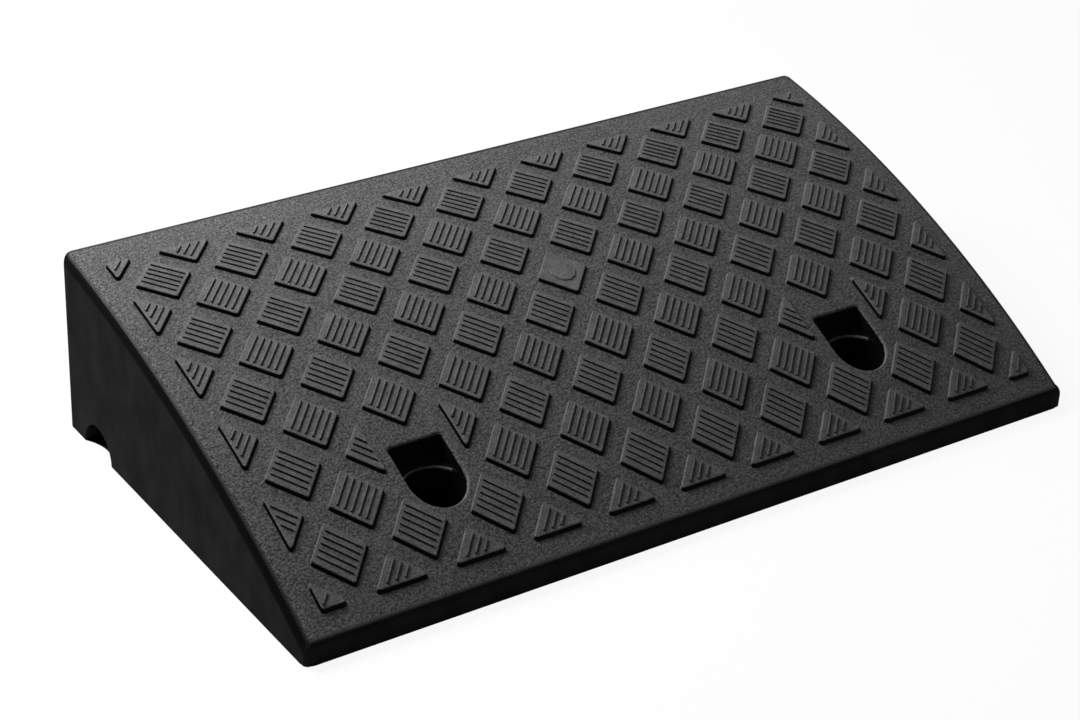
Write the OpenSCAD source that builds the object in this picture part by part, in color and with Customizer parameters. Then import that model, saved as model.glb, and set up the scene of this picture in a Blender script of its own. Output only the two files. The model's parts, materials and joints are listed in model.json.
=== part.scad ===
// Plastic kerb ramp: a hollow one-piece moulding with a convex checkered tread, two bolt pockets,
// an egg-crate of ribs underneath, a half-round drain channel along the kerb and push-in rubber feet.
// Frame: origin at the middle of the base, X along the kerb, +Y up the slope towards the kerb, +Z up.

/* [Ramp] */
// Overall length along the kerb
length = 500; // [440:1:600]
// Depth from the front lip to the back wall
depth = 267; // [258:1:300]
// Height of the back wall
height = 107; // [96:1:125]
// Height of the front lip
lip_height = 12; // [11:0.5:18]
// Radius of the convex tread
tread_radius = 690; // [500:10:1200]

/* [Walls and edges] */
// Thickness of the tread deck
deck_t = 4.5; // [3.5:0.1:6]
// Thickness of the side, front and back walls
wall_t = 4; // [3:0.1:6]
// Thickness of the ribs underneath
rib_t = 3; // [2:0.1:4]
// Rounding of the tread along the side walls
side_round = 6; // [3:0.5:8]
// Rounding of the tread along the back wall
back_round = 2.5; // [2:0.5:7]
// Rounding of the tread along the front lip
lip_round = 2; // [1.5:0.5:4]
// Plan radius of the front corners
front_corner_r = 5; // [4:0.5:14]
// Plan radius of the back corners
back_corner_r = 8; // [4:0.5:10]

/* [Tread pattern] */
// Distance between neighbouring pads of one row
pad_pitch = 46.8; // [42:0.1:50]
// Side of one square pad
pad_side = 23.4; // [18:0.1:27]
// Height of the pads above the tread
pad_rise = 2; // [1:0.1:3]
// Plain border between the front lip and the pattern
front_border = 12; // [8:0.5:18]
// Least plain border at the sides and the back
edge_border = 13; // [10:0.5:20]
// Diameter of the blank disc on the middle pad
disc_d = 15; // [8:0.5:17]
// Height of the blank disc above its pad
disc_rise = 0.6; // [0.3:0.1:1.2]

/* [Bolt pockets] */
// Diameter of the pocket bore
bore_d = 32.6; // [28:0.2:34]
// Distance from the bore axis to the flat uphill wall
pocket_back = 21.5; // [18:0.5:24]
// Plan radius of the pocket's two uphill corners
pocket_corner_r = 2.5; // [1:0.5:5]
// Height of the ledge where the pocket narrows to the bore
ledge_h = 39.5; // [34:0.5:40]
// Wall around the bore and the pocket
tube_t = 3.5; // [2.5:0.1:5]
// Thickness of the seat under the bolt head
seat_t = 8; // [5:0.5:12]
// Diameter of the hole for the ground bolt
bolt_hole_d = 13; // [9:0.5:16]

/* [Drain channel] */
// Radius of the half-round channel
channel_r = 16; // [10:0.5:18]
// Distance from the back wall to the middle of the channel
channel_inset = 38; // [30:0.5:42]

/* [Rubber feet] */
// Diameter of a foot
foot_d = 20; // [16:0.5:22]
// Distance from the front lip to the middle of the front feet
foot_inset = 22; // [19:0.5:30]
// How far a foot stands below the rim
foot_proud = 0.5; // [0.3:0.1:3]
// Depth of the socket that holds the foot's disc
socket_depth = 3; // [2:0.1:4]
// Diameter of the foot's stem
stem_d = 8; // [6:0.5:10]
// Length of the foot's stem
stem_length = 7; // [5:0.5:8]
// Wall around the foot's socket
boss_t = 3; // [2:0.1:4]
// Gap between a foot and its socket all round
foot_clearance = 0.15; // [0.1:0.05:0.3]

/* [Hidden] */
plastic = "#2c2d2f";
rubber = "#161616";
// One overrun serves all cuts
overrun = 1;
round_fn = 64;
drum_fn = 720;

// Axis of the tread drum: the circle through the lip's edge and the back wall's edge
chord_rise = height - lip_height;
chord = sqrt(depth * depth + chord_rise * chord_rise);
chord_drop = sqrt(tread_radius * tread_radius - chord * chord / 4);
arc_y = depth / 2 + chord_drop * chord_rise / chord;
arc_z = (lip_height + height) / 2 - chord_drop * depth / chord;

// The tread pattern: whole pitches that fit between the borders, rows half a pitch apart
columns = floor((length - 2 * edge_border) / pad_pitch);
field_length = columns * pad_pitch;
field_rows = 2 * floor((depth - front_border - edge_border) / pad_pitch);
row_step = pad_pitch / 2;
field_depth = field_rows * row_step;
// The pockets stand on the second row from the front, in the second column from each end
pocket_row = 2;
pocket_column = 2;
pocket_x = field_length / 2 - pocket_column * pad_pitch;
pocket_y = front_border + pocket_row * row_step;
// The pad with the blank disc is the middle one of the fourth row from the back
disc_row = field_rows - 4;
disc_x = columns % 2 * row_step;
disc_y = front_border + disc_row * row_step;

// Ribs: one through each pocket, and one along each side of the drain channel
channel_y = depth - channel_inset;
rib_bays = 4;
rib_step_x = pocket_x / rib_bays;
rib_step_y = (channel_y - channel_r - pocket_y) / rib_bays;
side_ribs = floor((length / 2 - wall_t - rib_step_x / 2) / rib_step_x);

// Feet: in the corners and in the middle, clear of the channel; the corner bosses stand half their wall
// deep in the side walls, and the back ones a quarter of its thickness deep in the rib beside the channel
boss_r = foot_d / 2 + boss_t;
foot_x = length / 2 - wall_t - boss_r + boss_t / 2;
foot_back_y = channel_y - channel_r - rib_t / 4 - boss_r;
foot_t = foot_proud + socket_depth;

// Everything below is measured from the front lip; place() moves it to the frame
module place() {
    translate([0, -depth / 2, 0]) children();
}

module tread_cylinder(radius) {
    translate([0, arc_y, arc_z]) rotate([0, 90, 0])
        cylinder(r = radius, h = length + 2 * overrun, center = true, $fn = drum_fn);
}

// The drum whose rim is the tread, with its two edges rounded
module tread_drum() {
    straight = length - 2 * side_round;
    translate([0, arc_y, arc_z]) rotate([0, 90, 0]) rotate_extrude($fn = drum_fn) {
        translate([0, -straight / 2]) square([tread_radius, straight]);
        translate([0, -length / 2]) square([tread_radius - side_round, length]);
        for (end = [-1, 1]) translate([tread_radius - side_round, end * straight / 2])
            circle(r = side_round, $fn = round_fn);
    }
}

// Plan outline of the ramp, drawn in by inset, with round corners
module plan_outline(inset, front_r, back_r) {
    half = length / 2 - inset;
    for (end = [-1, 1]) {
        translate([end * (half - front_r), inset + front_r]) circle(r = front_r, $fn = round_fn);
        translate([end * (half - back_r), depth - inset - back_r]) circle(r = back_r, $fn = round_fn);
    }
    translate([-half, inset + front_r]) square([2 * half, depth - 2 * inset - front_r - back_r]);
    translate([-half + front_r, inset]) square([2 * (half - front_r), front_r]);
    translate([-half + back_r, depth - inset - back_r]) square([2 * (half - back_r), back_r]);
}

// What a rounding takes off the edge between the tread and an upright wall: wall is the wall's place,
// way is -1 for the front lip and 1 for the back wall
module edge_waste(wall, way, radius) {
    mid_y = wall - way * radius;
    mid_z = arc_z + sqrt(pow(tread_radius - radius, 2) - pow(mid_y - arc_y, 2));
    toward_arc = [mid_y - arc_y, mid_z - arc_z] / (tread_radius - radius);
    reach = radius + overrun;
    rotate([90, 0, 90]) linear_extrude(length + 2 * overrun, center = true) difference() {
        polygon([[mid_y, mid_z], [mid_y, mid_z] + toward_arc * reach,
                 [wall + way * overrun, mid_z + 2 * reach], [wall + way * overrun, mid_z]]);
        translate([mid_y, mid_z]) circle(r = radius, $fn = round_fn);
    }
}

module outer_shell() {
    difference() {
        intersection() {
            tread_drum();
            translate([0, 0, foot_proud]) linear_extrude(height + overrun)
                plan_outline(0, front_corner_r, back_corner_r);
        }
        edge_waste(0, -1, lip_round);
        edge_waste(depth, 1, back_round);
    }
}

module cavity() {
    inner_r = wall_t / 2;
    intersection() {
        tread_cylinder(tread_radius - deck_t);
        linear_extrude(height) plan_outline(wall_t, inner_r, inner_r);
    }
}

module ribs() {
    for (i = [-side_ribs : side_ribs])
        translate([i * rib_step_x - rib_t / 2, 0, 0]) cube([rib_t, depth, height]);
    rows = [for (i = [-1 : rib_bays]) pocket_y + i * rib_step_y];
    for (y = concat(rows, channel_y + channel_r))
        translate([-length / 2, y - rib_t / 2, 0]) cube([length, rib_t, height]);
}

// Plan of a bolt pocket: round downhill, square with rounded corners uphill
module pocket_outline(grow) {
    half = bore_d / 2 + grow;
    back = pocket_back + grow;
    corner_r = pocket_corner_r + grow;
    circle(r = half, $fn = round_fn);
    translate([-half, 0]) square([2 * half, back - corner_r]);
    translate([corner_r - half, 0]) square([2 * (half - corner_r), back]);
    for (end = [-1, 1]) translate([end * (half - corner_r), back - corner_r])
        circle(r = corner_r, $fn = round_fn);
}

module at_pockets() {
    for (end = [-1, 1]) translate([end * pocket_x, pocket_y, 0]) children();
}

module pocket_walls() {
    at_pockets() {
        cylinder(d = bore_d + 2 * tube_t, h = height, $fn = round_fn);
        translate([0, 0, ledge_h - tube_t]) linear_extrude(height) pocket_outline(tube_t);
    }
}

module pocket_holes() {
    at_pockets() {
        translate([0, 0, foot_proud + seat_t]) cylinder(d = bore_d, h = height, $fn = round_fn);
        translate([0, 0, ledge_h]) linear_extrude(height) pocket_outline(0);
        cylinder(d = bolt_hole_d, h = height, $fn = round_fn);
    }
}

module drain_channel() {
    translate([0, channel_y, foot_proud]) rotate([0, 90, 0])
        cylinder(r = channel_r, h = length + 2 * overrun, center = true, $fn = round_fn);
}

module foot_bosses() {
    for (x = [-foot_x, 0, foot_x], y = [foot_inset, foot_back_y])
        translate([x, y, 0]) cylinder(r = boss_r, h = height, $fn = round_fn);
}

module foot_sockets() {
    stem_hole = foot_t + stem_length + foot_clearance;
    for (x = [-foot_x, 0, foot_x], y = [foot_inset, foot_back_y]) translate([x, y, 0]) {
        cylinder(d = foot_d + 2 * foot_clearance, h = foot_t, $fn = round_fn);
        cylinder(d = stem_d + 2 * foot_clearance, h = stem_hole, $fn = round_fn);
    }
}

// Pads of one row, counted from the front: even rows start on the field's edge, odd rows half a pitch in
module pad_row(row) {
    start = row % 2 * row_step - field_length / 2;
    for (i = [0 : columns - row % 2])
        translate([start + i * pad_pitch, front_border + row * row_step])
            rotate(45) square(pad_side, center = true);
}

// The tread pattern in plan: pads cut off at the field's edges and beside the pockets
module tread_pattern() {
    intersection() {
        translate([-field_length / 2, front_border]) square([field_length, field_depth]);
        for (row = [0 : field_rows]) difference() {
            pad_row(row);
            if (row == pocket_row || row == pocket_row + 1)
                for (end = [-1, 1])
                    translate([end * pocket_x - row_step, 0]) square([pad_pitch, depth]);
        }
    }
}

module tread_pads() {
    intersection() {
        linear_extrude(2 * height) tread_pattern();
        difference() {
            tread_cylinder(tread_radius + pad_rise);
            tread_cylinder(tread_radius - deck_t / 2);
        }
    }
    intersection() {
        translate([disc_x, disc_y, 0]) cylinder(d = disc_d, h = 2 * height, $fn = round_fn);
        difference() {
            tread_cylinder(tread_radius + pad_rise + disc_rise);
            tread_cylinder(tread_radius);
        }
    }
}

module ramp_body() {
    color(plastic) place() {
        difference() {
            outer_shell();
            difference() {
                cavity();
                ribs();
                pocket_walls();
                foot_bosses();
            }
            pocket_holes();
            drain_channel();
            foot_sockets();
        }
        tread_pads();
    }
}

// A rubber foot: a disc in its socket with a stem above it
module foot(x, y) {
    color(rubber) place() translate([x, y, 0]) {
        cylinder(d = foot_d, h = foot_t, $fn = round_fn);
        cylinder(d = stem_d, h = foot_t + stem_length, $fn = round_fn);
    }
}

ramp_body();
foot(-foot_x, foot_inset);  // foot_front_left
foot(0, foot_inset);  // foot_front_middle
foot(foot_x, foot_inset);  // foot_front_right
foot(-foot_x, foot_back_y);  // foot_back_left
foot(0, foot_back_y);  // foot_back_middle
foot(foot_x, foot_back_y);  // foot_back_right
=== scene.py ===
import json
import math
import bpy
import bmesh
from mathutils import Matrix, Vector

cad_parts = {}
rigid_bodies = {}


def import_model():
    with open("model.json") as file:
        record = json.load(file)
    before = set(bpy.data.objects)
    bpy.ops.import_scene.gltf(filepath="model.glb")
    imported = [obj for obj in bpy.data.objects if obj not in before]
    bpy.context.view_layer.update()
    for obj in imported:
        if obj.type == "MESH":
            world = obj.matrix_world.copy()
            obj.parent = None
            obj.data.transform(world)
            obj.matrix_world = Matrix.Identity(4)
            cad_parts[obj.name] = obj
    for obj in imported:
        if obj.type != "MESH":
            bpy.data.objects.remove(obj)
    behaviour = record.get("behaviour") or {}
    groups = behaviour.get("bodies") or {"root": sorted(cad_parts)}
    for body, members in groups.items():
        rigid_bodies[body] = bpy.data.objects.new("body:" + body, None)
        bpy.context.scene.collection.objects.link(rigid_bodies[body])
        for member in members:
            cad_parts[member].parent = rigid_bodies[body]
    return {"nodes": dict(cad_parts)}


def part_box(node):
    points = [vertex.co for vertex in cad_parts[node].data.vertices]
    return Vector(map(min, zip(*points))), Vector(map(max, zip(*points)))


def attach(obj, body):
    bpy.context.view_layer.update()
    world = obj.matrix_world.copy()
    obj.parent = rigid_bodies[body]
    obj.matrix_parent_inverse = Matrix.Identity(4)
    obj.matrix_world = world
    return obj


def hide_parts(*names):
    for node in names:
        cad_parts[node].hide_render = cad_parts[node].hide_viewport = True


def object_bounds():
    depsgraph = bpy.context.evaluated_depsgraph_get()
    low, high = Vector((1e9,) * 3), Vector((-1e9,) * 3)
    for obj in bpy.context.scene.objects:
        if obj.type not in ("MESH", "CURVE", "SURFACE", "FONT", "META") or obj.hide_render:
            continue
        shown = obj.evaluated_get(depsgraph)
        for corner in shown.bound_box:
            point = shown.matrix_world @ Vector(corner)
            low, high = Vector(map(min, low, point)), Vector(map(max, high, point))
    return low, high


# Black moulded kerb ramp with a checkered tread. Settings are in millimetres unless a note says otherwise.
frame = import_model()
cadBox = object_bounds()
mm = 0.001
weld = 1e-4    # points nearer than this count as one


def linearColour(hexText):
    parts = [int(hexText[i:i + 2], 16) / 255 for i in (1, 3, 5)]
    return [c / 12.92 if c <= 0.04045 else ((c + 0.055) / 1.055) ** 2.4 for c in parts] + [1]


def addNode(tree, kind, inputs=None, **settings):
    node = tree.nodes.new(kind)
    for name, value in settings.items():
        setattr(node, name, value)
    for name, value in (inputs or {}).items():
        if isinstance(value, bpy.types.NodeSocket):
            tree.links.new(value, node.inputs[name])
        else:
            node.inputs[name].default_value = value
    return node


def newMaterial(name):
    material = bpy.data.materials.new(name)
    material.use_nodes = True
    material.node_tree.nodes.clear()
    return material, material.node_tree


# Camera: where the photograph was taken from
view = {
    "azimuth": -35.143, "elevation": 29.713, "roll": 2.705,    # degrees
    "distance": 1463.15, "target": (-29.74, -5.83, 46.77),
    "lens": 88.378, "sensor": 36,
}


def placeCamera():
    az, el, roll = (math.radians(view[k]) for k in ("azimuth", "elevation", "roll"))
    back = Vector((math.sin(az) * math.cos(el), -math.cos(az) * math.cos(el), math.sin(el)))
    right = Vector((math.cos(az), math.sin(az), 0))
    up = back.cross(right)
    side = right * math.cos(roll) + up * math.sin(roll)
    top = up * math.cos(roll) - right * math.sin(roll)
    camera = bpy.data.objects.new("camera", bpy.data.cameras.new("camera"))
    camera.data.sensor_width, camera.data.lens = view["sensor"], view["lens"]
    turn = Matrix((side, top, back)).transposed().to_4x4()
    place = (Vector(view["target"]) + back * view["distance"]) * mm
    camera.matrix_world = Matrix.Translation(place) @ turn
    bpy.context.collection.objects.link(camera)
    bpy.context.scene.camera = camera
    print("camera placed")


placeCamera()

# The moulding: the tread is part of a drum whose axis runs along x
ramp = {
    "length": 500, "depth": 267, "height": 107, "lip": 12, "treadRadius": 690, "rim": 0.5,
    "sideRound": 6, "backRound": 2.5, "lipRound": 2, "roundSteps": 5,
    "frontCorner": 3, "backCorner": 6, "cornerSteps": 8,
    "bendStep": 6, "turnUnder": 0.8, "seam": 0.03,
    "channelRadius": 16, "channelInset": 38, "channelSteps": 24, "archClear": 1,
    "grainTurn": 15, "leftTurn": 40, "smoothAngle": 40,    # degrees
}
# Bolt pockets; three shares: grainEnd of rimRound, the painted highlight's reach of the bore, ledgeLean of an
# upright normal
pocket = {
    "x": 140.4, "y": -74.7, "bore": 16.3, "back": 21.5, "corner": 3.6,
    "ledge": 39.5, "seat": 8.5, "bolt": 6.5,
    "rimRound": 1.6, "ledgeRound": 1.3, "roundSteps": 4, "arcSteps": 14, "patch": 6,
    "longEdge": 8, "longEdgeCuts": 11, "search": 12, "rimStart": 0.01,
    "grainEnd": 0.8, "ledgeLean": (0.1, 0.95), "rubbedTo": 0.91,
}
# Pads of the tread; the last line limits the normals that count as a flank's
pads = {
    "pitch": 46.8, "side": 23.4, "rise": 2, "sunk": 1.2, "draft": 0.9, "corner": 1.1, "cornerSteps": 4,
    "round": 0.35, "roundSteps": 2, "cutSlack": 1e-3, "sameSpot": 1,
    "columns": 10, "rows": 10, "front": 12, "pocketRow": 2, "discRow": 6,
    "slant": 45,    # degrees
    "ribs": 5, "ribWidth": 0.85, "ribHeight": 1, "ribRound": 0.25, "ribMargin": 2.2, "shortest": 3,
    "disc": 15, "discRise": 0.6, "discRound": 0.35, "discTurns": 48,
    "flankUp": 0.6, "flankAlong": 0.1, "ribFlankUp": 0.3,
}
# the satin finish also carries painted shade, and the rubbed one painted highlights on uphill pad walls and
# on the pockets' rims
grained, satinAndShade, rubbedAndHighlight = 0, 1, 2    # the finishes' places on the moulding
halfLength, halfDepth = ramp["length"] / 2, ramp["depth"] / 2
chordRise = ramp["height"] - ramp["lip"]
chord = math.hypot(ramp["depth"], chordRise)
chordDrop = math.sqrt(ramp["treadRadius"] ** 2 - chord ** 2 / 4)
axisY = chordDrop * chordRise / chord
axisZ = (ramp["lip"] + ramp["height"]) / 2 - chordDrop * ramp["depth"] / chord
channelY = halfDepth - ramp["channelInset"]


def liftedZ(y, above):
    return axisZ + math.sqrt((ramp["treadRadius"] + above) ** 2 - (y - axisY) ** 2)


def liftOntoDrum(bm):
    # a flat model's z counts from the tread's surface; nothing rises over the CAD's highest line
    for v in bm.verts:
        v.co.z = min(liftedZ(v.co.y, v.co.z), cadBox[1][2] / mm)


def roundedPlate(bm, low, high, frontRadius, backRadius, steps):
    made = bmesh.ops.create_grid(bm, x_segments=1, y_segments=1, size=0.5)["verts"]
    middle = Vector((low[0] + high[0], low[1] + high[1], 0)) / 2
    bmesh.ops.scale(bm, vec=(high[0] - low[0], high[1] - low[1], 1), verts=made)
    bmesh.ops.translate(bm, vec=middle, verts=made)
    frontEnds = [v for v in made if v.co.y < middle.y]
    backEnds = [v for v in made if v.co.y > middle.y]
    for verts, radius in ((frontEnds, frontRadius), (backEnds, backRadius)):
        cut = bmesh.ops.bevel(bm, geom=verts, offset=radius, offset_type="OFFSET", segments=steps,
                              profile=0.5, affect="VERTICES", material=-1)
    return cut["verts"][0].link_faces[0]


def markOutward(bm, face, layer):
    # each outline point keeps its outward direction, which extruded copies inherit
    for loop in face.loops:
        before = (loop.vert.co - loop.link_loop_prev.vert.co).normalized()
        after = (loop.link_loop_next.vert.co - loop.vert.co).normalized()
        loop.vert[layer] = (before + after).cross(Vector((0, 0, face.normal.z))).normalized()


def growRing(bm, edges, place):
    made = bmesh.ops.extrude_edge_only(bm, edges=edges)["geom"]
    verts = [g for g in made if isinstance(g, bmesh.types.BMVert)]
    for v in verts:
        place(v)
    fresh = set(verts)
    # a dictionary keeps the edges in one order, run after run
    return list(dict.fromkeys(e for v in verts for e in v.link_edges
                              if e.is_boundary and fresh.issuperset(e.verts)))


def cutAll(bm, point, direction):
    bmesh.ops.bisect_plane(bm, geom=bm.verts[:] + bm.edges[:] + bm.faces[:], dist=weld,
                           plane_co=point, plane_no=direction)


def edgeRadius(out):
    along = ramp["backRound"] if out.y > 0 else ramp["lipRound"]
    return ramp["sideRound"] * out.x ** 2 + along * out.y ** 2


def buildSkin():
    bm = bmesh.new()
    outward = bm.verts.layers.float_vector.new("outward")
    low, high = (-halfLength, -halfDepth), (halfLength, halfDepth)
    plate = roundedPlate(bm, low, high, ramp["frontCorner"], ramp["backCorner"], ramp["cornerSteps"])
    bm.normal_update()
    markOutward(bm, plate, outward)
    edges = plate.edges[:]
    bmesh.ops.delete(bm, geom=[plate], context="FACES_ONLY")
    # the rounding, from the top of the walls up to the tread
    for v in bm.verts:
        v.co.z = -edgeRadius(v[outward])
    for step in range(ramp["roundSteps"]):
        now, then = (math.pi / 2 * (step + i) / ramp["roundSteps"] for i in (0, 1))

        def rise(v):
            radius = edgeRadius(v[outward])
            v.co -= v[outward] * radius * (math.cos(now) - math.cos(then))
            v.co.z = -radius * (1 - math.sin(then))
        edges = growRing(bm, edges, rise)
    bmesh.ops.contextual_create(bm, geom=edges)
    cutPockets(bm, outward)
    # cross cuts let the flat sheet bend over the drum and follow the drain channel's arch
    count = round(ramp["depth"] / ramp["bendStep"])
    cuts = [ramp["depth"] * i / count - halfDepth for i in range(1, count)]
    arch = [channelY + ramp["channelRadius"] * math.cos(math.pi * i / ramp["channelSteps"])
            for i in range(ramp["channelSteps"] + 1)]
    archReach = ramp["channelRadius"] + ramp["archClear"]
    for y in [y for y in cuts if abs(y - channelY) > archReach] + arch:
        cutAll(bm, (0, y, 0), (0, 1, 0))
    liftOntoDrum(bm)
    # the grain ends where the roundings turn down from the tread; at the left end it reaches further down,
    # painted light for the rounding that turns towards the lamps
    bm.normal_update()
    for f in bm.faces:
        c = f.calc_center_median()
        turn = f.normal.angle((0, c.y - axisY, c.z - axisZ))
        limit = ramp["leftTurn" if c.x < ramp["sideRound"] - halfLength else "grainTurn"]
        f.material_index = satinAndShade if min(turn, math.pi - turn) > math.radians(limit) else grained
    sinkPockets(bm, outward)
    dropWalls(bm, outward)
    bmesh.ops.recalc_face_normals(bm, faces=bm.faces[:])
    print("skin:", len(bm.faces), "faces")
    return bm


def cutPockets(bm, outward):
    half, grow, patch = pocket["bore"], pocket["rimRound"], pocket["patch"]
    low, high = pocket["y"] - half - patch, pocket["y"] + pocket["back"] + patch
    for y in (low, high):
        cutAll(bm, (0, y, 0), (0, 1, 0))
    for end in (-1, 1):
        for side in (-1, 1):
            cutAll(bm, (end * pocket["x"] + side * (half + patch), 0, 0), (1, 0, 0))
    for end in (-1, 1):
        middle = Vector((end * pocket["x"], (low + high) / 2, 0))
        panel = min(bm.faces, key=lambda f: (f.calc_center_median() - middle).length)
        rim = roundedPlate(bm, (middle.x - half - grow, pocket["y"] - half - grow),
                           (middle.x + half + grow, pocket["y"] + pocket["back"] + grow),
                           half + grow, pocket["corner"], pocket["arcSteps"])
        bmesh.ops.remove_doubles(bm, verts=rim.verts[:], dist=weld)
        longEdges = [e for e in rim.edges if e.calc_length() > pocket["longEdge"]]
        bmesh.ops.subdivide_edges(bm, edges=longEdges, cuts=pocket["longEdgeCuts"])
        bm.normal_update()
        markOutward(bm, rim, outward)
        edges = rim.edges[:] + panel.edges[:]
        bmesh.ops.delete(bm, geom=[rim, panel], context="FACES_ONLY")
        bmesh.ops.triangle_fill(bm, use_beauty=True, use_dissolve=False, edges=edges)
    bmesh.ops.delete(bm, geom=insidePockets(bm), context="FACES")


def insidePockets(bm):
    # faces that the fill may have left inside a pocket's outline
    found = []
    for f in bm.faces:
        c = f.calc_center_median()
        across, along = abs(abs(c.x) - pocket["x"]), c.y - pocket["y"]
        if across < pocket["bore"] and -pocket["bore"] / 2 < along < pocket["back"]:
            found.append(f)
    return found


def sinkPockets(bm, outward):
    bore, steps, search = pocket["bore"], pocket["roundSteps"], pocket["back"] + pocket["search"]
    for end in (-1, 1):
        axis = Vector((end * pocket["x"], pocket["y"]))
        edges = [e for e in bm.edges if e.is_boundary
                 and all((v.co.xy - axis).length < search for v in e.verts)]

        def pulledTo(v, radius):
            reach = v.co.xy - axis
            v.co.xy = axis + reach.normalized() * min(reach.length, radius)
        # rounded rim of the mouth
        for step in range(steps):
            now, then = (math.pi / 2 * (step + i) / steps for i in (0, 1))

            def turnIn(v):
                v.co -= v[outward] * pocket["rimRound"] * (math.sin(then) - math.sin(now))
                v.co.z -= pocket["rimRound"] * (math.cos(now) - math.cos(then))
            edges = growRing(bm, edges, turnIn)

        # downhill, where the tread is lower than the ledge, the mouth goes straight into the bore
        def toLedge(v):
            v.co.z = min(v.co.z, pocket["ledge"])
        edges = growRing(bm, edges, toLedge)

        def overLedge(v):
            pulledTo(v, bore + pocket["ledgeRound"])
        edges = growRing(bm, edges, overLedge)
        for step in range(steps):
            then = math.pi / 2 * (step + 1) / steps

            def overEdge(v):
                pulledTo(v, bore + pocket["ledgeRound"] * (1 - math.sin(then)))
                v.co.z = min(v.co.z, pocket["ledge"] - pocket["ledgeRound"] * (1 - math.cos(then)))
            edges = growRing(bm, edges, overEdge)

        def toSeat(v):
            v.co.z = pocket["seat"]
        edges = growRing(bm, edges, toSeat)

        def overSeat(v):
            pulledTo(v, pocket["bolt"])
        edges = growRing(bm, edges, overSeat)

        def throughSeat(v):
            v.co.z = ramp["rim"] - ramp["seam"]
        growRing(bm, edges, throughSeat)
    bmesh.ops.remove_doubles(bm, verts=bm.verts[:], dist=weld)
    bm.normal_update()
    # painted highlight: the ledge's rounded edge, except at its right end, and the rim's downhill half get
    # the paler finish, as if they caught the light; the rest of the mouth gets the dull dark finish
    ledgeTop, ledgeLow = pocket["ledge"], pocket["ledge"] - pocket["ledgeRound"]
    leastLean, mostLean = pocket["ledgeLean"]
    for f in bm.faces:
        c = f.calc_center_median()
        across, along = abs(c.x) - pocket["x"], c.y - pocket["y"]
        if max(abs(across), abs(along)) > pocket["back"] + pocket["rimRound"]:
            continue
        inMouth = c.z < liftedZ(c.y, -pocket["grainEnd"] * pocket["rimRound"])
        onRim = not inMouth and along < 0 and c.z < liftedZ(c.y, -pocket["rimStart"])
        onLedge = inMouth and ledgeLow < c.z < ledgeTop and leastLean < abs(f.normal.z) < mostLean
        toRight = across * math.copysign(1, c.x)
        if onRim or (onLedge and toRight < pocket["rubbedTo"] * bore):
            f.material_index = rubbedAndHighlight
        elif inMouth:
            f.material_index = satinAndShade


def wallFoot(y):
    reach = ramp["channelRadius"] ** 2 - (y - channelY) ** 2
    return ramp["rim"] - ramp["seam"] + math.sqrt(max(reach, 0))


def dropWalls(bm, outward):
    edges = [e for e in bm.edges if e.is_boundary and e.verts[0].co.z > ramp["rim"]]
    known = set(bm.faces)

    def drop(v):
        v.co.z = wallFoot(v.co.y)
    edges = growRing(bm, edges, drop)

    def turnUnder(v):
        v.co -= v[outward].normalized() * ramp["turnUnder"]
    growRing(bm, edges, turnUnder)
    for f in bm.faces:
        if f not in known:
            f.material_index = satinAndShade


def buildPad(x, y, limits):
    bm = bmesh.new()
    draft = pads["draft"]
    made = bmesh.ops.create_grid(bm, x_segments=1, y_segments=1, size=(pads["side"] + draft) / 2)["verts"]
    bmesh.ops.rotate(bm, verts=made, cent=(0, 0, 0),
                     matrix=Matrix.Rotation(math.radians(pads["slant"]), 3, "Z"))
    bmesh.ops.translate(bm, verts=made, vec=(x, y, 0))
    # what sticks out over the pattern's edge or into a pocket's panel is cut off
    for point, outside in limits:
        bmesh.ops.bisect_plane(bm, geom=bm.verts[:] + bm.edges[:] + bm.faces[:], dist=pads["cutSlack"],
                               plane_co=point, plane_no=outside, clear_outer=True)
    if not bm.faces:
        return bm
    # sharp corners are cut further back than square ones, so that all get the same radius
    for v in bm.verts[:]:
        cutBack = (pads["corner"] + draft) * math.tan(v.calc_edge_angle() / 2)
        bmesh.ops.bevel(bm, geom=[v], offset=cutBack, offset_type="OFFSET", segments=pads["cornerSteps"],
                        profile=0.5, affect="VERTICES", material=-1, clamp_overlap=True)
    # drafted walls up to the top, and a skirt that is sunk into the tread
    bmesh.ops.inset_region(bm, faces=bm.faces[:], thickness=draft, depth=pads["rise"], use_boundary=True,
                           use_even_offset=True)

    def sink(v):
        v.co.z = -pads["sunk"]
    growRing(bm, [e for e in bm.edges if e.is_boundary], sink)
    bmesh.ops.recalc_face_normals(bm, faces=bm.faces[:])
    # an open shell may come out of that inside out
    if max(bm.faces, key=lambda f: f.calc_center_median().z).normal.z < 0:
        bmesh.ops.reverse_faces(bm, faces=bm.faces[:])
    upper = [e for e in bm.edges if all(v.co.z > pads["rise"] / 2 for v in e.verts)]
    bmesh.ops.bevel(bm, geom=upper, offset=pads["round"], offset_type="OFFSET", segments=pads["roundSteps"],
                    profile=0.5, affect="EDGES", material=-1, clamp_overlap=True)
    bm.normal_update()
    # painted shade and light: the walls that look downhill get the dark dull finish and the others the paler
    # one, as light from behind would leave them
    for f in bm.faces:
        downhill = f.normal.z < pads["flankUp"] and f.normal.y < pads["flankAlong"]
        f.material_index = satinAndShade if downhill else rubbedAndHighlight
    return bm


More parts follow.
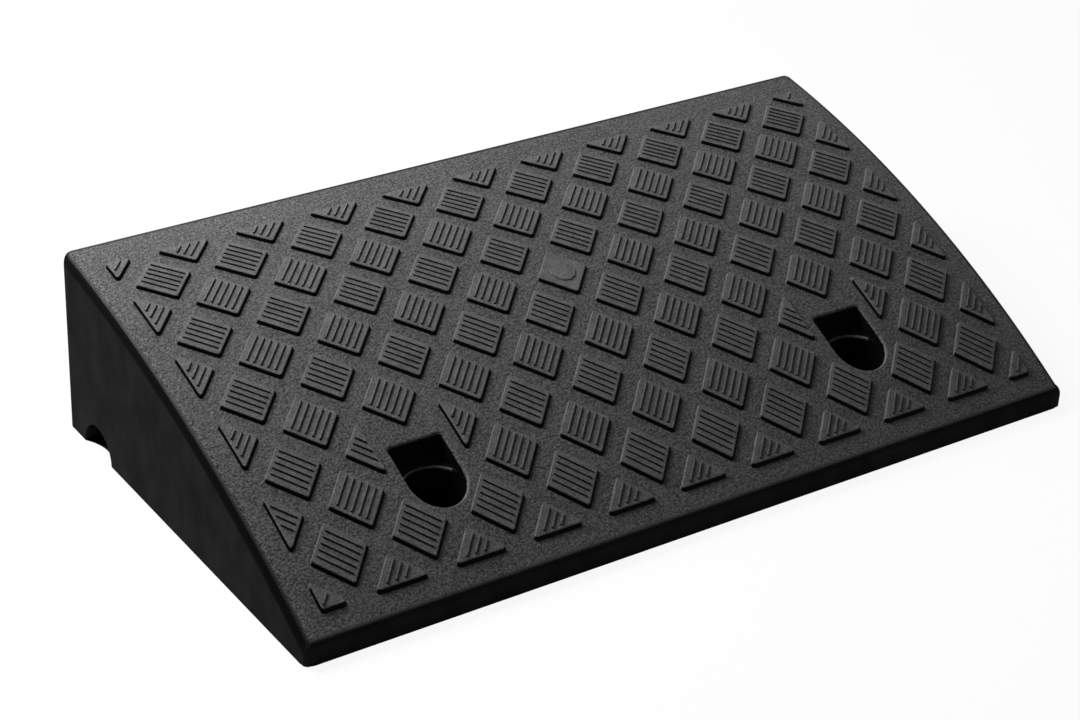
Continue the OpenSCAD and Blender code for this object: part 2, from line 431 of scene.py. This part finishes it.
def buildRibs(x, y, slant, limits):
    bm = bmesh.new()
    angle = math.radians(slant)
    along = Vector((math.cos(angle), math.sin(angle), 0))
    across = Vector((-math.sin(angle), math.cos(angle), 0))
    margin, height = pads["ribMargin"], pads["ribHeight"] + pads["rise"]
    step = (pads["side"] - 2 * margin) / pads["ribs"]
    for i in range(pads["ribs"]):
        middle = Vector((x, y, 0)) + across * (i - (pads["ribs"] - 1) / 2) * step
        # the rib ends a margin short of the pad's sides and of the lines that cut the pad off
        high = pads["side"] / 2 - margin
        low = -high
        for point, outside in limits:
            slope = along.dot(outside)
            reach = -((middle - Vector(point)).dot(outside) + margin) / slope
            low, high = (low, min(high, reach)) if slope > 0 else (max(low, reach), high)
        if high - low < pads["shortest"]:
            continue
        centre = middle + along * (low + high) / 2
        place = Matrix.Translation((centre.x, centre.y, height / 2)) @ Matrix.Rotation(angle, 4, "Z")
        size = Matrix.Diagonal((high - low, pads["ribWidth"], height, 1))
        made = bmesh.ops.create_cube(bm, size=1, matrix=place @ size)["verts"]
        upper = dict.fromkeys(e for v in made for e in v.link_edges
                              if all(w.co.z > height - weld for w in e.verts))
        bmesh.ops.bevel(bm, geom=list(upper), offset=pads["ribRound"], offset_type="OFFSET",
                        segments=pads["roundSteps"], profile=0.5, affect="EDGES", material=-1)
    bm.normal_update()
    for f in bm.faces:
        f.material_index = satinAndShade if f.normal.z < pads["ribFlankUp"] else rubbedAndHighlight
    return bm


def buildDisc(x, y):
    bm = bmesh.new()
    depth = pads["rise"] + pads["discRise"]
    bmesh.ops.create_cone(bm, cap_ends=True, segments=pads["discTurns"], radius1=pads["disc"] / 2,
                          radius2=pads["disc"] / 2, depth=depth, matrix=Matrix.Translation((x, y, depth / 2)))
    rim = [e for e in bm.edges if all(v.co.z > depth - weld for v in e.verts)]
    bmesh.ops.bevel(bm, geom=rim, offset=pads["discRound"], offset_type="OFFSET", segments=pads["roundSteps"],
                    profile=0.5, affect="EDGES", material=-1)
    for f in bm.faces:
        f.material_index = rubbedAndHighlight
    return bm


def addTo(bm, extra):
    mesh = bpy.data.meshes.new("part")
    extra.to_mesh(mesh)
    extra.free()
    bm.from_mesh(mesh)
    bpy.data.meshes.remove(mesh)


def addLifted(bm, extra):
    liftOntoDrum(extra)
    addTo(bm, extra)


def buildTread(bm):
    pitch, half = pads["pitch"], pads["pitch"] / 2
    fieldX = pads["columns"] * half
    front = pads["front"] - halfDepth
    back = front + pads["rows"] * half
    border = [((fieldX, 0, 0), (1, 0, 0)), ((-fieldX, 0, 0), (-1, 0, 0)),
              ((0, back, 0), (0, 1, 0)), ((0, front, 0), (0, -1, 0))]
    count = 0
    for row in range(pads["rows"] + 1):
        odd = row % 2
        for i in range(pads["columns"] + 1 - odd):
            x, y = -fieldX + odd * half + i * pitch, front + row * half
            limits, slant = list(border), -pads["slant"] if odd else pads["slant"]
            gap = abs(x) - pocket["x"]
            if row == pads["pocketRow"] and abs(gap) < pads["sameSpot"]:
                continue
            if row == pads["pocketRow"] + 1 and abs(gap) < pitch:
                # half pads beside a pocket: ribs fall towards the pocket on either side
                side = math.copysign(1, x) * math.copysign(1, gap)
                edge = math.copysign(pocket["x"], x) + side * half
                limits.append(((edge, 0, 0), (-side, 0, 0)))
                slant = pads["slant"] * side
            if row == pads["pocketRow"] and i == 0:
                slant = -pads["slant"]
            addLifted(bm, buildPad(x, y, limits))
            if row == pads["discRow"] and abs(x) < pads["sameSpot"]:
                addLifted(bm, buildDisc(x, y))
            else:
                addLifted(bm, buildRibs(x, y, slant, limits))
            count += 1
    print("tread:", count, "pads")


# The underside comes from the CAD's moulding; level and sideways are shares of a normal
underside = {"slack": 0.2, "skin": 2.8, "level": 0.9, "sideways": 0.5, "weld": 1e-3}


def isHidden(f):
    # true for faces of the CAD moulding that the new skin, pads and pockets stand for
    c, n, slack = f.calc_center_median() / mm, f.normal, underside["slack"]
    above = math.hypot(c.y - axisY, c.z - axisZ) - ramp["treadRadius"]
    across, along = abs(abs(c.x) - pocket["x"]), c.y - pocket["y"]
    inMouth = across < pocket["bore"] + slack and abs(along) < pocket["back"] + slack
    inBore = math.hypot(across, along) < pocket["bore"] + slack
    if inMouth and (inBore or (along > 0 and c.z > pocket["ledge"] - slack)):
        return True
    inChannel = math.hypot(c.y - channelY, c.z - ramp["rim"]) < ramp["channelRadius"] + slack
    if n.z < -underside["level"] or (inChannel and abs(n.x) < underside["sideways"]):
        return False
    return min(halfLength - abs(c.x), halfDepth - abs(c.y), -above) < underside["skin"]


def buildUnderside(bm):
    extra = bmesh.new()
    extra.from_mesh(frame["nodes"]["ramp_body"].data)
    bmesh.ops.remove_doubles(extra, verts=extra.verts[:], dist=underside["weld"] * mm)
    bmesh.ops.delete(extra, geom=[f for f in extra.faces if isHidden(f)], context="FACES")
    bmesh.ops.scale(extra, vec=(1 / mm,) * 3, verts=extra.verts[:])
    for f in extra.faces:
        f.material_index = satinAndShade
    print("underside:", len(extra.faces), "faces")
    addTo(bm, extra)


# Finishes of the moulding: sizes in millimetres, spans and shares as fractions
plasticIor = 1.49    # polypropylene
noiseSpan = (0.3, 0.7)    # most of a noise lies between these
grainedFinish = {
    "grain": 1.3, "patch": 7, "cloud": 40, "depth": 0.7,
    "dark": "#181818", "pale": "#626262", "tips": (0.4, 0.62), "pebbles": 0.4, "clouds": 0.5, "uneven": 0.35,
    "roughness": (0.42, 0.52), "specular": 0.08,
    # edge is the painted shade of the roundings and the back edge; the last line's specks paint a highlight
    # on the left end's edge
    "edge": "#0d0d0d", "leftRag": 7, "lipRag": 4,
    "leftFade": (-5, -6.5), "rightFade": (0, 1.6), "backFade": (-1.2, -0.4), "lipFade": (-0.8, -2.6),
    "scuffWidth": 1, "specks": (0.44, 0.6), "scuffDark": "#181818", "scuffPale": "#6a6a6a",
}


def grainedPlastic():
    # black polypropylene from a grained mould: matt and pebbled, with grey glints on the tips of the grain;
    # the mould's grain is about 0.3 mm and is drawn coarser so that it shows
    finish = grainedFinish
    material, tree = newMaterial("grainedPolypropylene")
    place = addNode(tree, "ShaderNodeTexCoord").outputs["Object"]
    spot = addNode(tree, "ShaderNodeSeparateXYZ", {"Vector": place}).outputs
    grain = addNode(tree, "ShaderNodeTexNoise", {
        "Vector": place, "Scale": 1 / (finish["grain"] * mm), "Detail": 3, "Roughness": 0.6,
        "Distortion": 0.4}).outputs["Fac"]
    pebble = addNode(tree, "ShaderNodeTexVoronoi", {"Vector": place, "Scale": 1 / (finish["grain"] * mm)},
                     feature="SMOOTH_F1").outputs["Distance"]
    patch = addNode(tree, "ShaderNodeTexNoise", {
        "Vector": place, "Scale": 1 / (finish["patch"] * mm), "Detail": 3}).outputs["Fac"]
    cloud = addNode(tree, "ShaderNodeTexNoise", {
        "Vector": place, "Scale": 1 / (finish["cloud"] * mm), "Detail": 2}).outputs["Fac"]
    # fade is 0 on the tread, and 1 on the roundings towards the walls and on a fine line along the back edge,
    # painted shade where the edges turn away from the light, soonest on the right;
    # the grain makes its border ragged at the left end and along the lip
    ragged = addNode(tree, "ShaderNodeMath", {0: grain, 1: -finish["leftRag"] * mm, 2: spot["X"]},
                     operation="MULTIPLY_ADD").outputs["Value"]
    raggedLip = addNode(tree, "ShaderNodeMath", {0: grain, 1: -finish["lipRag"] * mm, 2: spot["Y"]},
                        operation="MULTIPLY_ADD").outputs["Value"]
    leftEdge = ramp["sideRound"] - halfLength
    borders = [(ragged, leftEdge, finish["leftFade"]), (spot["X"], -leftEdge, finish["rightFade"]),
               (spot["Y"], halfDepth - ramp["backRound"], finish["backFade"]),
               (raggedLip, ramp["lipRound"] - halfDepth, finish["lipFade"])]
    fade = 0
    for along, line, (start, end) in borders:
        past = addNode(tree, "ShaderNodeMapRange", {
            "Value": along, "From Min": (line + start) * mm, "From Max": (line + end) * mm}).outputs["Result"]
        fade = addNode(tree, "ShaderNodeMath", {0: fade, 1: past}, operation="MAXIMUM").outputs["Value"]
    skin = addNode(tree, "ShaderNodeMix", {
        "Factor": finish["pebbles"], "A": grain, "B": pebble}).outputs["Result"]
    relief = addNode(tree, "ShaderNodeMath", {0: 1, 1: fade}, operation="SUBTRACT").outputs["Value"]
    bump = addNode(tree, "ShaderNodeBump", {
        "Height": skin, "Strength": relief, "Distance": finish["depth"] * mm})
    tips = addNode(tree, "ShaderNodeMapRange", {
        "Value": grain, "From Min": finish["tips"][0], "From Max": finish["tips"][1]}).outputs["Result"]
    uneven = addNode(tree, "ShaderNodeMix", {
        "Factor": finish["clouds"], "A": patch, "B": cloud}).outputs["Result"]
    wear = addNode(tree, "ShaderNodeMix", {
        "Factor": finish["uneven"], "A": tips, "B": uneven}).outputs["Result"]
    tint = addNode(tree, "ShaderNodeMix", {
        "Factor": wear, "A": linearColour(finish["dark"]), "B": linearColour(finish["pale"])},
        data_type="RGBA").outputs["Result"]
    # painted highlight: pale specks with dark gaps between them along the edge of the left end, where the
    # rounding catches the light
    atLeft = addNode(tree, "ShaderNodeMapRange", {
        "Value": spot["X"], "From Min": leftEdge * mm,
        "From Max": (leftEdge - finish["scuffWidth"]) * mm}).outputs["Result"]
    specks = addNode(tree, "ShaderNodeMapRange", {
        "Value": grain, "From Min": finish["specks"][0], "From Max": finish["specks"][1]}).outputs["Result"]
    edgeGlint = addNode(tree, "ShaderNodeMix", {
        "Factor": specks, "A": linearColour(finish["scuffDark"]), "B": linearColour(finish["scuffPale"])},
        data_type="RGBA").outputs["Result"]
    glinted = addNode(tree, "ShaderNodeMix", {"Factor": atLeft, "A": tint, "B": edgeGlint},
                   data_type="RGBA").outputs["Result"]
    faded = addNode(tree, "ShaderNodeMix", {"Factor": fade, "A": glinted, "B": linearColour(finish["edge"])},
                    data_type="RGBA").outputs["Result"]
    rough = addNode(tree, "ShaderNodeMapRange", {
        "Value": patch, "From Min": noiseSpan[0], "From Max": noiseSpan[1],
        "To Min": finish["roughness"][0], "To Max": finish["roughness"][1]}).outputs["Result"]
    shader = addNode(tree, "ShaderNodeBsdfPrincipled", {
        "Base Color": faded, "Roughness": rough, "IOR": plasticIor, "Specular IOR Level": finish["specular"],
        "Normal": bump.outputs["Normal"]})
    addNode(tree, "ShaderNodeOutputMaterial", {"Surface": shader.outputs["BSDF"]})
    return material


rubbedFinish = {
    "grain": 1, "patch": 7, "depth": 0.4,
    "dark": "#242424", "pale": "#6f6f6f", "tips": (0.35, 0.65), "patches": 0.5,
    "roughness": (0.4, 0.5), "specular": 0.08,
}


def rubbedPlastic():
    # the raised pads of the same polypropylene: their grain is rubbed down, so they look more even and paler;
    # the grain is drawn coarser here too
    finish = rubbedFinish
    material, tree = newMaterial("rubbedPolypropylene")
    place = addNode(tree, "ShaderNodeTexCoord").outputs["Object"]
    grain = addNode(tree, "ShaderNodeTexNoise", {
        "Vector": place, "Scale": 1 / (finish["grain"] * mm), "Detail": 3, "Roughness": 0.6,
        "Distortion": 0.4}).outputs["Fac"]
    patch = addNode(tree, "ShaderNodeTexNoise", {
        "Vector": place, "Scale": 1 / (finish["patch"] * mm), "Detail": 3}).outputs["Fac"]
    bump = addNode(tree, "ShaderNodeBump", {"Height": grain, "Strength": 1, "Distance": finish["depth"] * mm})
    tips = addNode(tree, "ShaderNodeMapRange", {
        "Value": grain, "From Min": finish["tips"][0], "From Max": finish["tips"][1]}).outputs["Result"]
    wear = addNode(tree, "ShaderNodeMix", {
        "Factor": finish["patches"], "A": tips, "B": patch}).outputs["Result"]
    tint = addNode(tree, "ShaderNodeMix", {
        "Factor": wear, "A": linearColour(finish["dark"]), "B": linearColour(finish["pale"])},
        data_type="RGBA").outputs["Result"]
    rough = addNode(tree, "ShaderNodeMapRange", {
        "Value": patch, "From Min": noiseSpan[0], "From Max": noiseSpan[1],
        "To Min": finish["roughness"][0], "To Max": finish["roughness"][1]}).outputs["Result"]
    shader = addNode(tree, "ShaderNodeBsdfPrincipled", {
        "Base Color": tint, "Roughness": rough, "IOR": plasticIor, "Specular IOR Level": finish["specular"],
        "Normal": bump.outputs["Normal"]})
    addNode(tree, "ShaderNodeOutputMaterial", {"Surface": shader.outputs["BSDF"]})
    return material


satinFinish = {
    "cloud": 14, "stretch": 0.6, "grain": 0.9, "depth": 0.1, "relief": 0.3,
    "dark": "#0b0b0b", "pale": "#1a1a1a", "darkest": "#070707",
    "upright": (0.03, 0.25), "level": (0.99, 0.93),
    "roughness": (0.72, 0.58), "specular": 0.02,
}


def satinPlastic():
    # the same polypropylene off a plain mould wall: darker and dull, with soft clouds from the cooling melt,
    # and painted shade on leaning faces and in the pockets
    finish = satinFinish
    material, tree = newMaterial("satinPolypropylene")
    where = addNode(tree, "ShaderNodeTexCoord").outputs
    place = where["Object"]
    spot = addNode(tree, "ShaderNodeSeparateXYZ", {"Vector": place}).outputs
    # the clouds are higher than they are wide
    drawn = addNode(tree, "ShaderNodeVectorMath", {0: place, 1: (1, 1, finish["stretch"])},
                    operation="MULTIPLY").outputs["Vector"]
    cloud = addNode(tree, "ShaderNodeTexNoise", {
        "Vector": drawn, "Scale": 1 / (finish["cloud"] * mm), "Detail": 4}).outputs["Fac"]
    grain = addNode(tree, "ShaderNodeTexNoise", {
        "Vector": place, "Scale": 1 / (finish["grain"] * mm), "Detail": 2}).outputs["Fac"]
    bump = addNode(tree, "ShaderNodeBump", {
        "Height": grain, "Strength": finish["relief"], "Distance": finish["depth"] * mm})
    tint = addNode(tree, "ShaderNodeMix", {
        "Factor": cloud, "A": linearColour(finish["dark"]), "B": linearColour(finish["pale"])},
        data_type="RGBA").outputs["Result"]
    # painted shade: roundings behind the lip and drafted flanks, which lean between upright and level, are
    # painted darkest
    up = addNode(tree, "ShaderNodeSeparateXYZ", {"Vector": where["Normal"]}).outputs["Z"]
    offUpright = addNode(tree, "ShaderNodeMapRange", {
        "Value": up, "From Min": finish["upright"][0], "From Max": finish["upright"][1]}).outputs["Result"]
    offLevel = addNode(tree, "ShaderNodeMapRange", {
        "Value": up, "From Min": finish["level"][0], "From Max": finish["level"][1]}).outputs["Result"]
    slanted = addNode(tree, "ShaderNodeMath", {0: offUpright, 1: offLevel},
                      operation="MULTIPLY").outputs["Value"]
    behindLip = addNode(tree, "ShaderNodeMath", {0: spot["Y"], 1: (ramp["lipRound"] - halfDepth) * mm},
                        operation="GREATER_THAN").outputs["Value"]
    lean = addNode(tree, "ShaderNodeMath", {0: slanted, 1: behindLip}, operation="MULTIPLY").outputs["Value"]
    # so are the insides of the pockets, painted shade for their deep hollows
    across = addNode(tree, "ShaderNodeMath", {0: spot["X"]}, operation="ABSOLUTE").outputs["Value"]
    folded = addNode(tree, "ShaderNodeCombineXYZ", {"X": across, "Y": spot["Y"]}).outputs["Vector"]
    fromPocket = addNode(tree, "ShaderNodeVectorMath", {
        0: folded, 1: (pocket["x"] * mm, pocket["y"] * mm, 0)}, operation="DISTANCE").outputs["Value"]
    inPocket = addNode(tree, "ShaderNodeMath", {0: fromPocket, 1: (pocket["back"] + pocket["patch"]) * mm},
                       operation="LESS_THAN").outputs["Value"]
    dark = addNode(tree, "ShaderNodeMath", {0: lean, 1: inPocket}, operation="MAXIMUM").outputs["Value"]
    deep = addNode(tree, "ShaderNodeMix", {"Factor": dark, "A": tint, "B": linearColour(finish["darkest"])},
                   data_type="RGBA").outputs["Result"]
    rough = addNode(tree, "ShaderNodeMapRange", {
        "Value": cloud, "From Min": noiseSpan[0], "From Max": noiseSpan[1],
        "To Min": finish["roughness"][0], "To Max": finish["roughness"][1]}).outputs["Result"]
    shader = addNode(tree, "ShaderNodeBsdfPrincipled", {
        "Base Color": deep, "Roughness": rough, "IOR": plasticIor, "Specular IOR Level": finish["specular"],
        "Normal": bump.outputs["Normal"]})
    addNode(tree, "ShaderNodeOutputMaterial", {"Surface": shader.outputs["BSDF"]})
    return material


def finishPiece(name, bm, materials, smoothAngle):
    bmesh.ops.scale(bm, vec=(mm,) * 3, verts=bm.verts[:])
    for f in bm.faces:
        f.smooth = True
    mesh = bpy.data.meshes.new(name)
    bm.to_mesh(mesh)
    bm.free()
    mesh.set_sharp_from_angle(angle=math.radians(smoothAngle))
    for material in materials:
        mesh.materials.append(material)
    piece = bpy.data.objects.new(name, mesh)
    bpy.context.collection.objects.link(piece)
    weighted = piece.modifiers.new("evenShading", "WEIGHTED_NORMAL")
    weighted.keep_sharp = True
    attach(piece, "root")
    return piece


def makeBody():
    bm = buildSkin()
    buildTread(bm)
    buildUnderside(bm)
    finishes = [grainedPlastic(), satinPlastic(), rubbedPlastic()]
    body = finishPiece("rampMoulding", bm, finishes, ramp["smoothAngle"])
    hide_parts("ramp_body")
    print("body:", len(body.data.polygons), "faces")


makeBody()

# Feet: rubber discs with a rounded sole and a stem in the moulding's socket
foot = {
    "radius": 10, "height": 3.5, "stemRadius": 4, "stem": 7, "soleRound": 0.4, "roundSteps": 3, "turns": 48,
    "rimAngle": 57, "smoothAngle": 40,    # degrees
    "bloom": 4, "dark": "#141414", "pale": "#1e1e1d", "roughness": (0.65, 0.85), "ior": 1.52,
}


def footRubber():
    # moulded EPDM rubber: deep black, dull, with a fine dusty bloom
    material, tree = newMaterial("mouldedRubber")
    place = addNode(tree, "ShaderNodeTexCoord").outputs["Object"]
    bloom = addNode(tree, "ShaderNodeTexNoise", {
        "Vector": place, "Scale": 1 / (foot["bloom"] * mm), "Detail": 4}).outputs["Fac"]
    tint = addNode(tree, "ShaderNodeMix", {
        "Factor": bloom, "A": linearColour(foot["dark"]), "B": linearColour(foot["pale"])},
        data_type="RGBA").outputs["Result"]
    rough = addNode(tree, "ShaderNodeMapRange", {
        "Value": bloom, "To Min": foot["roughness"][0], "To Max": foot["roughness"][1]}).outputs["Result"]
    shader = addNode(tree, "ShaderNodeBsdfPrincipled", {
        "Base Color": tint, "Roughness": rough, "IOR": foot["ior"]})
    addNode(tree, "ShaderNodeOutputMaterial", {"Surface": shader.outputs["BSDF"]})
    return material


def makeFeet():
    rubber = footRubber()
    top = foot["height"] + foot["stem"]
    outline = [(0, 0), (foot["radius"], 0), (foot["radius"], foot["height"]),
               (foot["stemRadius"], foot["height"]), (foot["stemRadius"], top), (0, top)]
    names = sorted(n for n in frame["nodes"] if n.startswith("foot_"))
    for node in names:
        low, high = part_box(node)
        middle = (low + high) / 2 / mm
        bm = bmesh.new()
        points = [bm.verts.new((r, 0, z)) for r, z in outline]
        line = [bm.edges.new(pair) for pair in zip(points, points[1:])]
        bmesh.ops.spin(bm, geom=points + line, cent=(0, 0, 0), axis=(0, 0, 1), angle=math.tau,
                       steps=foot["turns"], use_merge=True)
        bmesh.ops.remove_doubles(bm, verts=bm.verts[:], dist=weld)
        bmesh.ops.recalc_face_normals(bm, faces=bm.faces[:])
        rims = [e for e in bm.edges if e.calc_face_angle(0) > math.radians(foot["rimAngle"])
                and abs(e.verts[0].co.z - e.verts[1].co.z) < weld]
        bmesh.ops.bevel(bm, geom=rims, offset=foot["soleRound"], offset_type="OFFSET",
                        segments=foot["roundSteps"], profile=0.5, affect="EDGES", material=-1)
        bmesh.ops.translate(bm, vec=(middle.x, middle.y, low.z / mm), verts=bm.verts[:])
        name = "rubber" + "".join(word.capitalize() for word in node.split("_"))
        piece = finishPiece(name, bm, [rubber], foot["smoothAngle"])
        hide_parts(node)
    print("feet:", len(names))


makeFeet()

# Studio: pale floor, white surround, a large soft lamp behind and one overhead
studio = {
    "floor": 6000, "floorColour": "#f2f2f2", "shadeColour": "#303030", "mouthInset": 5.5,
    "floorGlow": 0.92, "surround": 0.04,    # shares of white
    "lamps": [
        {"name": "backLamp", "place": (150, 1500, 880), "size": 800, "power": 14},    # watts
        {"name": "topLamp", "place": (-440, 430, 780), "size": 400, "power": 13.7},
    ],
}


def seenDirectly(tree):
    # 1 for rays from the camera and for those that gloss or glass sends on
    path = addNode(tree, "ShaderNodeLightPath").outputs
    gloss = addNode(tree, "ShaderNodeMath", {0: path["Is Glossy Ray"], 1: path["Is Transmission Ray"]},
                    operation="MAXIMUM").outputs["Value"]
    return addNode(tree, "ShaderNodeMath", {0: path["Is Camera Ray"], 1: gloss},
                   operation="MAXIMUM").outputs["Value"]


def paleFloor():
    # matt painted board, seen as white; its white ends at the ramp's walls and reaches in a little
    # at the drain channel's mouths; beyond that, under the ramp, it is painted dark and does not glow:
    # painted shade
    material, tree = newMaterial("paleFloor")
    place = addNode(tree, "ShaderNodeTexCoord").outputs["Object"]
    spot = addNode(tree, "ShaderNodeSeparateXYZ", {"Vector": place}).outputs
    across = addNode(tree, "ShaderNodeMath", {0: spot["X"]}, operation="ABSOLUTE").outputs["Value"]
    along = addNode(tree, "ShaderNodeMath", {0: spot["Y"]}, operation="ABSOLUTE").outputs["Value"]
    fromMouth = addNode(tree, "ShaderNodeMath", {0: spot["Y"], 1: channelY * mm},
                        operation="SUBTRACT").outputs["Value"]
    squared = addNode(tree, "ShaderNodeMath", {0: fromMouth, 1: 2}, operation="POWER").outputs["Value"]
    corner = ramp["backCorner"]
    reach = addNode(tree, "ShaderNodeMapRange", {
        "Value": squared, "From Max": (ramp["channelRadius"] * mm) ** 2,
        "To Min": (corner + studio["mouthInset"] - halfLength) * mm,
        "To Max": (corner - halfLength) * mm}).outputs["Result"]
    # how far past the corners' middles, where negative values count as none
    pastEnd = addNode(tree, "ShaderNodeMath", {0: across, 1: reach}, use_clamp=True).outputs["Value"]
    pastSide = addNode(tree, "ShaderNodeMath", {0: along, 1: (corner - halfDepth) * mm},
                       use_clamp=True).outputs["Value"]
    past = addNode(tree, "ShaderNodeCombineXYZ", {"X": pastEnd, "Y": pastSide}).outputs["Vector"]
    far = addNode(tree, "ShaderNodeVectorMath", {0: past}, operation="LENGTH").outputs["Value"]
    clear = addNode(tree, "ShaderNodeMath", {0: far, 1: corner * mm},
                    operation="GREATER_THAN").outputs["Value"]
    tint = addNode(tree, "ShaderNodeMix", {
        "Factor": clear, "A": linearColour(studio["shadeColour"]), "B": linearColour(studio["floorColour"])},
        data_type="RGBA").outputs["Result"]
    paint = addNode(tree, "ShaderNodeBsdfDiffuse", {"Color": tint}).outputs["BSDF"]
    glow = addNode(tree, "ShaderNodeEmission", {"Color": (1, 1, 1, 1), "Strength": 1}).outputs["Emission"]
    white = addNode(tree, "ShaderNodeMath", {0: clear, 1: studio["floorGlow"]},
                    operation="MULTIPLY").outputs["Value"]
    share = addNode(tree, "ShaderNodeMath", {0: seenDirectly(tree), 1: white},
                    operation="MULTIPLY").outputs["Value"]
    mixed = addNode(tree, "ShaderNodeMixShader", {0: share, 1: paint, 2: glow}).outputs["Shader"]
    addNode(tree, "ShaderNodeOutputMaterial", {"Surface": mixed})
    return material


def makeStudio():
    world = bpy.data.worlds.new("surround")
    bpy.context.scene.world = world
    world.use_nodes = True
    tree = world.node_tree
    tree.nodes.clear()
    level = addNode(tree, "ShaderNodeMapRange", {
        "Value": seenDirectly(tree), "To Min": studio["surround"], "To Max": 1}).outputs["Result"]
    light = addNode(tree, "ShaderNodeBackground", {"Color": (1, 1, 1, 1), "Strength": level})
    addNode(tree, "ShaderNodeOutputWorld", {"Surface": light.outputs["Background"]})
    bm = bmesh.new()
    bmesh.ops.create_grid(bm, x_segments=1, y_segments=1, size=studio["floor"] / 2 * mm)
    mesh = bpy.data.meshes.new("floor")
    bm.to_mesh(mesh)
    bm.free()
    mesh.materials.append(paleFloor())
    floor = bpy.data.objects.new("floor", mesh)
    bpy.context.collection.objects.link(floor)
    for settings in studio["lamps"]:
        data = bpy.data.lights.new(settings["name"], "AREA")
        data.size, data.energy = settings["size"] * mm, settings["power"]
        lamp = bpy.data.objects.new(settings["name"], data)
        lamp.location = Vector(settings["place"]) * mm
        lamp.rotation_euler = (-lamp.location).to_track_quat("-Z", "Y").to_euler()
        bpy.context.collection.objects.link(lamp)
    bpy.context.scene.view_settings.view_transform = "Standard"
    print("studio ready")


makeStudio()

bpy.context.view_layer.update()
